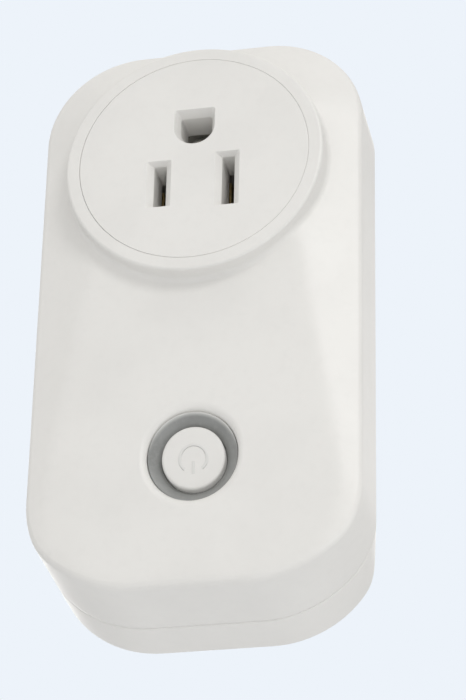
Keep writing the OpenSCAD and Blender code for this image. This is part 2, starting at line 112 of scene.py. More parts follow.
# Button; a lean tips a ring of points towards the casing's lower end
CAP_LOW, CAP_HIGH = span("button_cap")
BUTTON_Z = (CAP_LOW[2] + CAP_HIGH[2]) / 2
CAP_R = 5.7
CAP_FACE = 23.8
CAP_LEAN = math.tan(math.radians(10))
RING_BORE = 5.8
RING_R = 8.14
DISH_DEPTH = 22.2
DISH_FLARE = 1.2
DISH_LEAN = math.tan(math.radians(9.5))
DISH_BACK = 20.2
HOLE_R = 8.2
LIP = 1.2  # width of the roll round the well at its sides
LIP_SPREAD = 0.8  # how much wider the roll gets above and below

# Rear, and the posts inside
REAR_EDGE = 0.8
BLADES = (("hot_blade", -BLADE_X, 3.175), ("neutral_blade", BLADE_X, 3.975))  # as for SLOTS
BLADE_HALF_T = 0.75
PIN_R = 2.4
PIN_LENGTH = 20.0
CASE_BOSS = ((21, 23), (-21, 23), (20, -67.5), (-20, -67.5))
BOARD_POST = ((21.5, -24), (-21.5, -24), (21.5, -54), (-21.5, -54))
BOARD_FRONT = 17.0
FACE_POST = ((14, 9), (-14, 9))
POST_R = 3.0
PILOT_R = 1.05
SCREW_SEAT = 5.0
SCREW_TIP = 16.0
LABEL_LOW, LABEL_HIGH = span("rating_label")
LABEL_Z = (LABEL_LOW[2] + LABEL_HIGH[2]) / 2
LABEL_HALF_H = (LABEL_HIGH[2] - LABEL_LOW[2]) / 2

# Looks
WAVE = 314.16  # wave texture scale that gives bands one millimetre apart

# Stage; here and for the lights a place is (x, y, z) in the frame's own axes
FLOOR_HALF = 4000.0
FLOOR_LEVEL = -470.0
AMBIENT = 0.775
AMBIENT_DROP = 0.42  # how much dimmer the surroundings are straight to the right
DROP_POWER = 4.0
MIDDLE = (0, -20, -22)
LENS = 149.3  # focal length
SENSOR = 36
VIEW_ANGLES = (12.56, -29.58, 1.36)  # azimuth, elevation and roll, in degrees
VIEW_AIM = (5.83, -20.0, -29.82)
VIEW_DISTANCE = 520.7


# Mesh helpers

class Skin:
    """A mesh under construction: rings of points, quads between rings, and filled areas."""

    def __init__(self):
        self.bm = bmesh.new()

    def ring(self, points):
        return [self.bm.verts.new((x * MM, -d * MM, z * MM)) for x, d, z in points]

    def bridge(self, a, b):
        for i in range(len(a)):
            j = (i + 1) % len(a)
            self.bm.faces.new((a[i], a[j], b[j], b[i]))

    def tube(self, rings):
        """Quads from each ring to the next; returns the first and last rings' vertices."""
        made = [self.ring(r) for r in rings]
        for a, b in zip(made, made[1:]):
            self.bridge(a, b)
        return made[0], made[-1]

    def crease(self, ring):
        """Shades the two sides of a ring separately, so that a flat area beside it stays flat."""
        for a, b in zip(ring, ring[1:] + ring[:1]):
            self.bm.edges.get((a, b)).smooth = False

    def cap(self, ring):
        self.bm.faces.new(ring)
        self.crease(ring)

    def solid(self, rings):
        """A closed solid through the rings, with flat ends."""
        first, last = self.tube(rings)
        self.cap(first)
        self.cap(last)

    def loop(self, rings):
        """A closed solid whose last ring joins its first, such as a pipe."""
        first, last = self.tube(rings)
        self.bridge(last, first)

    def fill(self, outer, holes=(), seeds=()):
        """Triangles between an outer ring, its holes and any (x, depth, z) points inside."""
        verts = list(outer)
        edges = [(i, (i + 1) % len(outer)) for i in range(len(outer))]
        owner = [0] * len(outer)
        for number, hole in enumerate(holes, 1):
            base = len(verts)
            verts += hole
            owner += [number] * len(hole)
            edges += [(base + i, base + (i + 1) % len(hole)) for i in range(len(hole))]
        verts += self.ring(seeds)
        owner += [-1] * len(seeds)
        flat = [Vector((v.co.x, v.co.z)) / MM for v in verts]
        result = delaunay_2d_cdt(flat, edges, [], 0, 1e-5)
        source = [olds[0] for olds in result[3]]
        for face in result[2]:
            ids = [source[i] for i in face]
            owners = {owner[i] for i in ids}
            if len(owners) == 1 and owners.pop() > 0:  # inside a hole
                continue
            self.bm.faces.new([verts[i] for i in ids])
        if not seeds:
            for ring in (outer, *holes):
                self.crease(ring)

    def draft_lower_wall(self):
        """Leans the casing's lower wall, so that its front edge sits higher than its rear edge."""
        for vert in self.bm.verts:
            depth, z = -vert.co.y / MM, vert.co.z / MM
            share = min(max((DRAFT_TOP - z) / (DRAFT_TOP - DRAFT_FULL), 0), 1)
            share *= share * (3 - 2 * share)
            vert.co.z += LOWER_DRAFT * share * max(depth, 0) / EDGE * MM

    def place(self, name):
        """The mesh as an object in the scene."""
        mesh = bpy.data.meshes.new(name)
        self.bm.to_mesh(mesh)
        self.bm.free()
        piece = bpy.data.objects.new(name, mesh)
        bpy.context.scene.collection.objects.link(piece)
        return piece

    def finish(self, name, body, slot, replaces=()):
        """The finished object, riding on its body and standing for its CAD nodes."""
        bmesh.ops.recalc_face_normals(self.bm, faces=self.bm.faces)
        piece = self.place(name)
        for polygon in piece.data.polygons:
            polygon.use_smooth = True
        weighted = piece.modifiers.new("weighted", "WEIGHTED_NORMAL")
        weighted.keep_sharp = True
        weighted.weight = 60
        piece.data.materials.append(MATERIALS[slot])
        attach(piece, body)
        if replaces:
            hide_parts(*replaces)
        return piece


def at_depth(outline, depth):
    """A flat outline of (x, z) points, placed at one depth."""
    return [(x, depth, z) for x, z in outline]


def arc(cx, cz, r, start, end, steps):
    """Points along an arc, both ends included, with angles in degrees."""
    turn = [math.radians(start + (end - start) * k / steps) for k in range(steps + 1)]
    return [(cx + r * math.cos(t), cz + r * math.sin(t)) for t in turn]


def circle(cx, cz, r, steps=48):
    return arc(cx, cz, r, 0, 360, steps)[:-1]


def quarter(steps):
    """Angles of a quarter turn in equal steps, both ends included."""
    return [math.pi / 2 * k / steps for k in range(steps + 1)]


def rounded_rect(cx, cz, half_w, half_h, r, steps=4):
    """A rectangle's outline with round corners, counter-clockwise."""
    points = []
    for sx, sz, start in ((1, 1, 0), (-1, 1, 90), (-1, -1, 180), (1, -1, 270)):
        points += arc(cx + sx * (half_w - r), cz + sz * (half_h - r), r, start, start + 90, steps)
    return points


def turned(cx, cz, profile, steps):
    """Circles about an axis that runs in depth, from a profile of (radius, depth)."""
    return [at_depth(circle(cx, cz, r, steps), depth) for r, depth in profile]


def post(x, z, start, end):
    """Rings of a screw post, open from end to end."""
    return turned(x, z, ((POST_R, start), (POST_R, end), (PILOT_R, end), (PILOT_R, start)), 32)


def blend_steps(a, b, steps):
    """Points strictly between a and b."""
    return [tuple(p + (q - p) * k / steps for p, q in zip(a, b)) for k in range(1, steps)]


def casing_rim():
    """Points round the casing's outline, as (x, z, inward x, inward z)."""
    corners = (
        (HALF - TOP_R, TOP - TOP_R, TOP_R, 0),
        (TOP_R - HALF, TOP - TOP_R, TOP_R, 90),
        (LOW_R - HALF, LOW + LOW_R, LOW_R, 180),
        (HALF - LOW_R, LOW + LOW_R, LOW_R, 270),
    )
    corner_steps = 24
    straight_steps = (12, 40, 12, 40)

    def rim_point(cx, cz, r, degrees):
        c, s = math.cos(math.radians(degrees)), math.sin(math.radians(degrees))
        return cx + r * c, cz + r * s, -c, -s

    rim = []
    for number, (cx, cz, r, start) in enumerate(corners):
        rim += [rim_point(cx, cz, r, start + 90 * k / corner_steps) for k in range(corner_steps + 1)]
        after = rim_point(*corners[(number + 1) % 4][:3], start + 90)
        rim += blend_steps(rim[-1], after, straight_steps[number])
    return rim


RIM = casing_rim()


def smooth_min(a, b, width):
    """The lower of two values, with the change from one to the other spread over width."""
    h = max(width - abs(a - b), 0) / width
    return min(a, b) - h * h * width / 4


def inset_rim(inset, draft=0.0):
    """The casing's outline moved in by inset, and its two sides by draft more."""
    points = [(x + nx * inset, z + nz * inset) for x, z, nx, nz in RIM]
    if not draft:
        return points
    limit = HALF - inset - draft
    return [(math.copysign(smooth_min(abs(x), limit, draft), x), z) for x, z in points]


def inset_of(x, z):
    """Distance inwards from the casing's outline."""
    for r, cz, side in ((TOP_R, TOP - TOP_R, 1), (LOW_R, LOW + LOW_R, -1)):
        dx = abs(x) - (HALF - r)
        dz = (z - cz) * side
        if dx > 0 and dz > 0:
            return r - math.hypot(dx, dz)
    return min(HALF - abs(x), TOP - z, z - LOW)


def front_depth(x, z):
    """Depth of the front: the sloping panel, met by the shoulder along a soft crease."""
    panel = EDGE + PANEL_RISE * (z - LOW)
    flat = EDGE + SHOULDER_RISE * SHOULDER_W
    shoulder = EDGE + SHOULDER_RISE * inset_of(x, z)
    return smooth_min(smooth_min(panel, flat, CREASE / 2), shoulder, CREASE)


def hex_seeds(step, allowed):
    """Points on a triangular grid over the casing, where allowed(x, z) is true."""
    seeds = []
    row_step = step * 0.866  # height of an equal-sided triangle
    rows = int((TOP - LOW) / row_step)
    columns = int(2 * HALF / step)
    for row in range(rows + 1):
        z = LOW + row * row_step
        for column in range(columns + 1):
            x = -HALF + (column + 0.5 * (row % 2)) * step
            if allowed(x, z):
                seeds.append((x, z))
    return seeds


# Casing

def edge_rings():
    """Rings that roll the front cover's side wall over into its front."""
    steps = 6
    rings = [[] for _ in range(steps + 1)]
    for x, z, nx, nz in RIM:
        edge = front_depth(x, z)
        slope = front_depth(x + nx * 2, z + nz * 2) - front_depth(x + nx, z + nz)
        turn = math.pi / 2 - math.atan(slope)
        set_back = EDGE_ROUND * math.tan(turn / 2)
        for k in range(steps + 1):
            t = turn * k / steps
            inset = EDGE_ROUND * (1 - math.cos(t))
            depth = edge - set_back + EDGE_ROUND * math.sin(t)
            if k == steps:
                depth = front_depth(x + nx * inset, z + nz * inset)
            rings[k].append((x + nx * inset, depth, z + nz * inset))
    return rings


def collar_rings():
    """Rings of the outlet's collar: from its foot on the front, over its rim and down inside."""
    steps, round_steps = 180, 5
    turns = [2 * math.pi * k / steps for k in range(steps)]
    across = [(math.cos(t), math.sin(t)) for t in turns]

    def level(r, depth):
        return [(r * c, depth, FACE_Z + r * s) for c, s in across]

    foot = [(x, front_depth(x, z), z) for x, _, z in level(COLLAR_R + COLLAR_FILLET, 0)]
    rings = [foot]
    for t in quarter(round_steps)[1:]:
        rise = COLLAR_FILLET * (1 - math.cos(t))
        ring = level(COLLAR_R + COLLAR_FILLET * (1 - math.sin(t)), 0)
        rings.append([(x, base + rise, z) for (x, _, z), (_, base, _) in zip(ring, foot)])
    for t in quarter(round_steps):
        r = COLLAR_R - COLLAR_ROUND * (1 - math.cos(t))
        rings.append(level(r, SOCKET - COLLAR_ROUND * (1 - math.sin(t))))
    bore = FACE_R + FACE_GAP
    inside = ((bore + ARRIS, SOCKET), (bore + 0.3 * ARRIS, SOCKET - 0.3 * ARRIS), (bore, SOCKET - ARRIS),
              (bore, FACE_BACK), (LEDGE_R, FACE_BACK), (LEDGE_R, COLLAR_BACK), (COLLAR_R, COLLAR_BACK))
    rings += [level(r, depth) for r, depth in inside]
    return rings + [[(x, depth - FRONT_WALL, z) for x, depth, z in foot]]


def well_rings():
    """Rings of the button's well: a rolled rim, wider above and below, and a straight bore."""
    steps, lip_steps = 120, 7
    rings = [[] for _ in range(lip_steps + 2)]
    for k in range(steps):
        t = 2 * math.pi * k / steps
        c, s = math.cos(t), math.sin(t)
        lip = LIP + LIP_SPREAD * abs(s)
        outer = HOLE_R + lip
        brow = front_depth(outer * c, BUTTON_Z + outer * s)
        for ring, u in zip(rings, quarter(lip_steps)):
            r = HOLE_R + lip * (1 - math.sin(u))
            ring.append((r * c, brow - lip * (1 - math.cos(u)), BUTTON_Z + r * s))
        rings[-1].append((HOLE_R * c, brow - FRONT_WALL, BUTTON_Z + HOLE_R * s))
    return rings


def front_seeds(step, rim_inset, well_r, drop=0.0):
    """Points on the front, or drop behind it, clear of its rim, the collar and the button's well."""
    margin = 0.6 * step

    def allowed(x, z):
        return (inset_of(x, z) > rim_inset + margin
                and math.hypot(x, z - FACE_Z) > COLLAR_R + COLLAR_FILLET + margin
                and math.hypot(x, z - BUTTON_Z) > well_r + margin)

    return [(x, front_depth(x, z) - drop, z) for x, z in hex_seeds(step, allowed)]


def front_cover():
    """Front half of the casing: side wall, rolled edge, soft shoulder, collar and button well."""
    skin = Skin()
    wall_rings = [at_depth(inset_rim(SEAM), PARTING), at_depth(inset_rim(0), PARTING + SEAM),
                  at_depth(inset_rim(0), PARTING + 1)]
    rolled = edge_rings()
    support = [(x, depth - 0.8, z) for x, depth, z in rolled[0]]
    back, front = skin.tube(wall_rings + [support] + rolled)
    collar_out, collar_in = skin.tube(collar_rings())
    well_out, well_in = skin.tube(well_rings())
    fine, coarse = 1.4, 3.0
    lip_r = HOLE_R + LIP + LIP_SPREAD + 0.1
    skin.fill(front, (collar_out, well_out), front_seeds(fine, EDGE_ROUND, lip_r))

    inner_wall = inset_rim(WALL)
    inner_front = [(x, front_depth(x, z) - FRONT_WALL, z) for x, z in inner_wall]
    inner_back, inner_rim = skin.tube([at_depth(inner_wall, PARTING), inner_front])
    skin.bridge(back, inner_back)
    skin.fill(inner_rim, (collar_in, well_in), front_seeds(coarse, WALL, HOLE_R, FRONT_WALL))

    ring_guide = ((11.4, 21.2), (11.4, 23.2), (9.9, 23.2), (9.9, 21.2))
    skin.loop(turned(0, BUTTON_Z, ring_guide, 64))
    cover_over_post = 1.2
    for places, start in ((CASE_BOSS, PARTING), (BOARD_POST, BOARD_FRONT)):
        for x, z in places:
            skin.loop(post(x, z, start, front_depth(x, z) - cover_over_post))
    skin.draft_lower_wall()
    return skin.finish("front_cover_shell", "housing", "shell_white", ["front_cover"])


def rear_cover():
    """Rear half of the casing: drafted sides, openings for the plug, screw wells, label recess."""
    skin = Skin()

    def drafted(inset, depth):
        return at_depth(inset_rim(inset, SIDE_DRAFT * (1 - depth / PARTING)), depth)

    rings = [drafted(REAR_EDGE * (1 - math.sin(t)), REAR_EDGE * (1 - math.cos(t))) for t in quarter(6)]
    rings += [drafted(0, REAR_EDGE + 0.5), drafted(0, PARTING - 0.9), drafted(0, PARTING - SEAM)]
    rings += [drafted(SEAM, PARTING), drafted(WALL + 0.1, PARTING)]
    tongue = ((WALL + 0.1, PARTING + TONGUE), (WALL + 1, PARTING + TONGUE), (WALL + 1, PARTING - 2))
    rings += [at_depth(inset_rim(inset), depth) for inset, depth in tongue]
    rings += [drafted(WALL, PARTING - 2), drafted(WALL, WALL)]
    outside, inside = skin.tube(rings)

    outer_holes, inner_holes = [], []

    def through(shape):
        """A hole from the wall face into the casing; shape(grow) gives its outline."""
        profile = ((0.2, 0), (0.06, 0.06), (0, 0.2), (0, WALL))
        a, b = skin.tube([at_depth(shape(grow), depth) for grow, depth in profile])
        outer_holes.append(a)
        inner_holes.append(b)

    for _, x, half in BLADES:
        half_w, half_h = BLADE_HALF_T + 0.1, half + 0.1
        through(lambda g, x=x, w=half_w, h=half_h: rounded_rect(x, 0, w + g, h + g, 0.12 + g))
    through(lambda g: circle(0, GROUND_Z, PIN_R + 0.4 + g))

    screw_well = ((3.3, 0), (3.08, 0.08), (3, 0.3), (3, SCREW_SEAT), (1.4, SCREW_SEAT),
                  (1.4, PARTING), (3.4, PARTING), (3.4, WALL))
    for x, z in CASE_BOSS:
        a, b = skin.tube(turned(x, z, screw_well, 48))
        outer_holes.append(a)
        inner_holes.append(b)

    half_w, half_h = LABEL_HIGH[0] + 0.5, LABEL_HALF_H + 0.5
    recess = [at_depth(rounded_rect(0, LABEL_Z, half_w + g, half_h + g, 2 + g, 8), depth)
              for g, depth in ((0.12, 0), (0.03, 0.05), (0, 0.15), (0, 0.3))]
    a, recess_floor = skin.tube(recess)
    outer_holes.append(a)
    skin.fill(recess_floor)
    skin.fill(outside, outer_holes)
    skin.fill(inside, inner_holes)
    skin.draft_lower_wall()
    return skin.finish("rear_cover_shell", "housing", "shell_white", ["rear_cover"])


# Outlet

def ground_outline(grow):
    """Ground hole: a half circle below and square above."""
    r = GROUND_R + grow
    corner = 0.5
    points = arc(0, GROUND_Z, r, 180, 360, 28)
    points += arc(r - corner, GROUND_Z + r - corner, corner, 0, 90, 5)
    points += arc(corner - r, GROUND_Z + r - corner, corner, 90, 180, 5)
    return points


def socket_face():
    """Round face of the outlet, with bevelled slots and the ground hole."""
    skin = Skin()
    rim = ((FACE_R - ARRIS, SOCKET), (FACE_R - 0.3 * ARRIS, SOCKET - 0.3 * ARRIS),
           (FACE_R, SOCKET - ARRIS), (FACE_R, FACE_BACK))
    front, back = skin.tube(turned(FACE_SHIFT, FACE_Z, rim, 160))
    fronts, backs = [], []

    def passage(shape, bevel):
        """A guided opening with a bevelled mouth: shape(wide, tall) is its outline, grown."""
        wide, tall, deep = bevel
        mouth = ((wide + ARRIS, tall + 0.8 * ARRIS, SOCKET), (wide, tall, SOCKET - ARRIS),
                 (0.04, 0.03, SOCKET - deep), (0, 0, SOCKET - deep - ARRIS),
                 (0, 0, GUIDE_BACK + 0.2), (0.2, 0.2, GUIDE_BACK),
                 (GUIDE_WALL, GUIDE_WALL, GUIDE_BACK), (GUIDE_WALL, GUIDE_WALL, FACE_BACK))
        a, b = skin.tube([at_depth(shape(w, t), depth) for w, t, depth in mouth])
        fronts.append(a)
        backs.append(b)

    for x, half in SLOTS:
        passage(lambda w, t, x=x, h=half: rounded_rect(x, 0, SLOT_HALF_W + w, h + t, 0.2), SLOT_BEVEL)
    passage(lambda w, t: ground_outline(w), GROUND_BEVEL)
    skin.fill(front, fronts)
    skin.fill(back, backs)
    for x, z in FACE_POST:
        skin.loop(post(x, z, FACE_BACK - 3, FACE_BACK + 0.5))
    return skin.finish("socket_face_disc", "housing", "shell_white", ["socket_face"])


# Button

def button_ring(radius, depth, lean=0.0):
    """A ring round the button's axis; lean tips it so that it faces the casing's lower end."""
    return [(x, depth + lean * (z - BUTTON_Z), z) for x, z in circle(0, BUTTON_Z, radius, 96)]


def button_rings(profile, lean=0.0):
    """Rings from a profile of (radius, depth)."""
    return [button_ring(r, depth, lean) for r, depth in profile]


def light_ring():
    """Frosted ring that lights up round the button: a dish between the cover and the cap."""
    skin = Skin()

    def on_dish(r):
        return DISH_DEPTH + (r - RING_BORE + 0.3) / DISH_FLARE

    dish = [(RING_BORE, on_dish(RING_BORE) - 0.15)]
    dish += [(r, on_dish(r)) for r in (RING_BORE + 0.15, 6.6, 7.3, RING_R - 0.25)]
    dish += [(RING_R - 0.06, on_dish(RING_R - 0.15)), (RING_R, on_dish(RING_R) - 0.3)]
    flange = ((RING_R, 22.4), (9.8, 22.4), (9.8, 21.2), (RING_R, 21.2), (RING_R, DISH_BACK))
    skin.loop([button_ring(RING_BORE, DISH_BACK)] + button_rings(dish, DISH_LEAN) + button_rings(flange))
    return skin.finish("light_ring_lens", "housing", "ring_clear", ["light_ring"])


def cap_hollow(r):
    """How far the cap's face is sunk at a radius."""
    return 0.1 * (1 - (r / 5) ** 2)


def button_cap():
    """Push-button cap: rounded rim, slightly hollow face, flange and central post behind."""
    skin = Skin()
    rim, post_r = 0.45, 1.75
    flange = ((CAP_R - 1, 19.5), (6.8, 19.5), (6.8, 20.1), (CAP_R, 20.1))
    face = [(CAP_R - rim * (1 - math.cos(t)), CAP_FACE - rim * (1 - math.sin(t))) for t in quarter(6)]
    face += [(r, CAP_FACE - cap_hollow(r)) for r in (4.6, 3.9, 3.2, 2.4, 1.6, 0.8)]
    first, last = skin.tube(button_rings(flange) + button_rings(face, CAP_LEAN))
    skin.cap(last)
    top, post_end = skin.tube(button_rings(((CAP_R - 1, 21.9), (post_r, 21.9), (post_r, 21.4))))
    skin.bridge(first, top)
    skin.cap(post_end)
    return skin.finish("button_cap_shell", "button", "shell_white", ["button_cap"])


def power_mark():
    """Plain on-off mark moulded on the cap: an open ring with a bar through its gap."""
    skin = Skin()
    radius, half_w, gap_degrees = 2.45, 0.36, 38
    bar_start, bar_length = -0.6, 2.3
    steps, bar_steps = 48, 12
    section = ((-1, -0.03), (-0.6, 0.03), (0, 0.045), (0.6, 0.03), (1, -0.03))

    def strip(line, normals):
        rings = []
        for (x, z), (nx, nz) in zip(line, normals):
            face = CAP_FACE + CAP_LEAN * z - cap_hollow(math.hypot(x, z))
            rings.append([(x + nx * half_w * side, face + rise, BUTTON_Z + z + nz * half_w * side)
                          for side, rise in section])
        skin.solid(rings)

    sweep = 360 - 2 * gap_degrees
    turns = [math.radians(-90 + gap_degrees + sweep * k / steps) for k in range(steps + 1)]
    strip([(radius * math.cos(t), radius * math.sin(t)) for t in turns],
          [(math.cos(t), math.sin(t)) for t in turns])
    bar = [bar_start - bar_length * k / bar_steps for k in range(bar_steps + 1)]
    strip([(0, z) for z in bar], [(1, 0)] * len(bar))
    piece = skin.finish("power_mark", "button", "shell_white")
    piece.data.materials[0] = MATERIALS["mark_grey"]
    return piece


# Plug behind

def blade(node, x, half_h):
    """One flat blade: chamfered tip, plain shank, shoulder and tail inside the casing."""
    skin = Skin()

    def section(depth, thick, tall, corner=0.14):
        return at_depth(rounded_rect(x, 0, thick, tall, corner, 3), depth)

    rings = [section(-16.5, 0.3, half_h - 1.35, 0.12), section(-16.38, 0.42, half_h - 1.2),
             section(-15.7, BLADE_HALF_T - 0.03, half_h - 0.5)]
    shank = ((-15.4, half_h - 0.3), (-14.9, half_h - 0.03), (-14.6, half_h), (2, half_h))
    shoulder_and_tail = ((2, 5), (3.5, 5), (3.5, 2), (8.6, 2))
    rings += [section(depth, BLADE_HALF_T, tall) for depth, tall in shank + shoulder_and_tail]
    skin.solid(rings)
    return skin.finish(node + "_shape", "housing", "blade_nickel", [node])


def ground_pin():
    """Round ground pin with a domed tip, its neck and collar inside the casing."""
    skin = Skin()
    dome = PIN_R - PIN_LENGTH
    profile = [(PIN_R * math.sin(t), dome - PIN_R * math.cos(t)) for t in quarter(12)[1:]]
    profile += [(PIN_R, -2), (PIN_R, -0.2), (PIN_R - 0.1, 0)]
    neck, collar, tail = PIN_R - 0.3, 3.4, 1.5
    profile += [(neck, 0), (neck, 2), (collar, 2), (collar, 3.5), (tail, 3.5), (tail, 8.6)]
    skin.solid(turned(0, GROUND_Z, profile, 48))
    return skin.finish("ground_pin_turned", "housing", "blade_nickel", ["ground_pin"])


def cross_outline(x, z, angle, reach, half):
    """A cross with arms of the given reach and half width, turned by angle."""
    corners = []
    for arm in range(4):
        t = angle + math.pi / 2 * arm
        c, s = math.cos(t), math.sin(t)
        for along, side in ((reach, -half), (reach, half), (half, half)):
            corners.append((x + along * c - side * s, z + along * s + side * c))
    return corners


def case_screws():
    """Pan-head screws with a cross recess, heads towards the wall face."""
    skin = Skin()
    head_r, head_t, shank_r, root_r, tip_r, pitch = 2.25, 1.6, 0.95, 0.8, 0.25, 0.9
    top, under = SCREW_SEAT - head_t, SCREW_SEAT - 0.1
    profile = [(1.75, top + 0.02), (2.05, top + 0.16), (2.2, top + 0.4), (head_r, top + 0.75),
               (head_r, under), (shank_r, under)]
    for k in range(int((SCREW_TIP - SCREW_SEAT) / pitch)):
        base = SCREW_SEAT + 0.3 + pitch * k
        profile += [(root_r, base), (shank_r, base + 0.35), (root_r, base + 0.7)]
    profile.append((tip_r, SCREW_TIP))
    recess = ((1.35, 0.3, top), (1.25, 0.26, top + 0.15), (0.75, 0.2, top + 0.95))
    for number, (x, z) in enumerate(CASE_BOSS):
        angle = math.radians(20 + 37 * number)
        head, tip = skin.tube(turned(x, z, profile, 36))
        mouth, floor_ring = skin.tube([at_depth(cross_outline(x, z, angle, reach, half), depth)
                                       for reach, half, depth in recess])
        skin.cap(floor_ring)
        skin.fill(head, (mouth,))
        skin.cap(tip)
    return skin.finish("case_screw_set", "housing", "screw_steel", ["case_screws"])


def rating_label():
    """Blank label film with round corners, in its recess."""
    skin = Skin()
    half_w, half_h = LABEL_HIGH[0], LABEL_HALF_H
    skin.solid([at_depth(rounded_rect(0, LABEL_Z, half_w - inset, half_h - inset, 1.8, 8), depth)
                for inset, depth in ((0.04, 0.08), (0, 0.11), (0, 0.29))])
    return skin.finish("blank_label", "housing", "label_film", ["rating_label"])


# Materials

class Shader:
    """A material's nodes, with a principled shader fed by procedural textures."""

    def __init__(self, name, color, roughness, **sockets):
        self.material = bpy.data.materials.new(name)
        self.material.use_nodes = True
        self.tree = self.material.node_tree
        self.shader = self.tree.nodes["Principled BSDF"]
        self.color = (*color, 1)
        self.roughness = roughness
        self.set("Base Color", self.color)
        self.set("Roughness", roughness)
        for socket, value in sockets.items():
            self.set(socket.replace("_", " "), value)
        self.place = self.node("ShaderNodeTexCoord").outputs["Object"]
        self.height = None

    def set(self, socket, value):
        self.shader.inputs[socket].default_value = value

    def node(self, kind, **values):
        made = self.tree.nodes.new(kind)
        for name, value in values.items():
            setattr(made, name, value)
        return made

    def link(self, source, target):
        self.tree.links.new(source, target)

    def noise(self, size_mm, detail, stretch=(1, 1, 1)):
        """Noise with features of about size_mm, longer along an axis with a smaller stretch."""
        mapping = self.node("ShaderNodeMapping")
        mapping.inputs["Scale"].default_value = stretch
        self.link(self.place, mapping.inputs["Vector"])
        noise = self.node("ShaderNodeTexNoise")
        noise.inputs["Scale"].default_value = 1000 / size_mm
        noise.inputs["Detail"].default_value = detail
        self.link(mapping.outputs["Vector"], noise.inputs["Vector"])
        return noise.outputs["Fac"]

    def ramp(self, source, low, high):
        """Source mapped smoothly so that low gives 0 and high gives 1."""
        made = self.node("ShaderNodeMapRange", interpolation_type="SMOOTHSTEP")
        made.inputs["From Min"].default_value = low
        made.inputs["From Max"].default_value = high
        self.link(source, made.inputs["Value"])
        return made.outputs["Result"]

    def scaled(self, source, low, high):
        """Source from 0 to 1 mapped to low to high."""
        made = self.node("ShaderNodeMapRange")
        made.inputs["To Min"].default_value = low
        made.inputs["To Max"].default_value = high
        self.link(source, made.inputs["Value"])
        return made.outputs["Result"]

    def product(self, a, b):
        made = self.node("ShaderNodeMath", operation="MULTIPLY")
        self.link(a, made.inputs[0])
        self.link(b, made.inputs[1])
        return made.outputs["Value"]

    def tint(self, source, color, amount):
        """Mixes a colour over the base colour, by up to amount where source is 1."""
        mix = self.node("ShaderNodeMix", data_type="RGBA")
        rgb_a = [s for s in mix.inputs if s.name == "A" and s.type == "RGBA"][0]
        rgb_b = [s for s in mix.inputs if s.name == "B" and s.type == "RGBA"][0]
        result = [s for s in mix.outputs if s.type == "RGBA"][0]
        rgb_b.default_value = (*color, 1)
        links = self.shader.inputs["Base Color"].links
        if links:
            self.link(links[0].from_socket, rgb_a)
        else:
            rgb_a.default_value = self.color
        self.link(self.scaled(source, 0, amount), mix.inputs["Factor"])
        self.link(result, self.shader.inputs["Base Color"])

    def gloss(self, source, spread):
        """Varies the roughness by spread on each side of its value."""
        self.link(self.scaled(source, self.roughness - spread, self.roughness + spread),
                  self.shader.inputs["Roughness"])

    def bump(self, source, depth_mm):
        """Adds relief of depth_mm, at half strength, to whatever relief there is."""
        bump = self.node("ShaderNodeBump")
        bump.inputs["Distance"].default_value = depth_mm * MM
        bump.inputs["Strength"].default_value = 0.5
        self.link(source, bump.inputs["Height"])
        if self.height:
            self.link(self.height, bump.inputs["Normal"])
        self.height = bump.outputs["Normal"]
        self.link(self.height, self.shader.inputs["Normal"])

    def edges(self, color, amount):
        """Wear on convex edges, where pointiness is over one half."""
        geometry = self.node("ShaderNodeNewGeometry")
        self.tint(self.ramp(geometry.outputs["Pointiness"], 0.52, 0.6), color, amount)


def shaded(color, share):
    """A colour made darker or lighter, with no channel over 1."""
    return [min(1, c * share) for c in color]


def moulded(name, color, roughness, grain=0.35, depth=0.012, shade=0.9, sheen=(4, 5), **sockets):
    """Injection-moulded plastic: faint flow marks and fine spark-eroded grain.

    The sheen is the size and detail of the noise that varies its roughness.
    """
    s = Shader(name, color, roughness, **sockets)
    s.tint(s.ramp(s.noise(18, 3), 0.35, 0.7), shaded(color, shade), 0.35)
    s.tint(s.ramp(s.noise(1.6, 4), 0.45, 0.8), shaded(color, shade), 0.18)
    s.gloss(s.noise(*sheen), 0.05)
    s.bump(s.noise(grain, 3), depth)
    return s


def metal(name, color, roughness, size=0.12, stretch=(1, 0.08, 1), wear=(0.9, 0.9, 0.88)):
    """Metal with drawn or brushed streaks, dull patches and bright edges."""
    s = Shader(name, color, roughness, Metallic=1.0)
    s.tint(s.ramp(s.noise(6, 4), 0.4, 0.75), shaded(color, 0.72), 0.45)
    s.edges(wear, 0.6)
    streaks = s.noise(size, 4, stretch)
    s.gloss(streaks, 0.1)
    s.bump(streaks, 0.006)
    s.bump(s.noise(2.5, 3), 0.01)
    return s


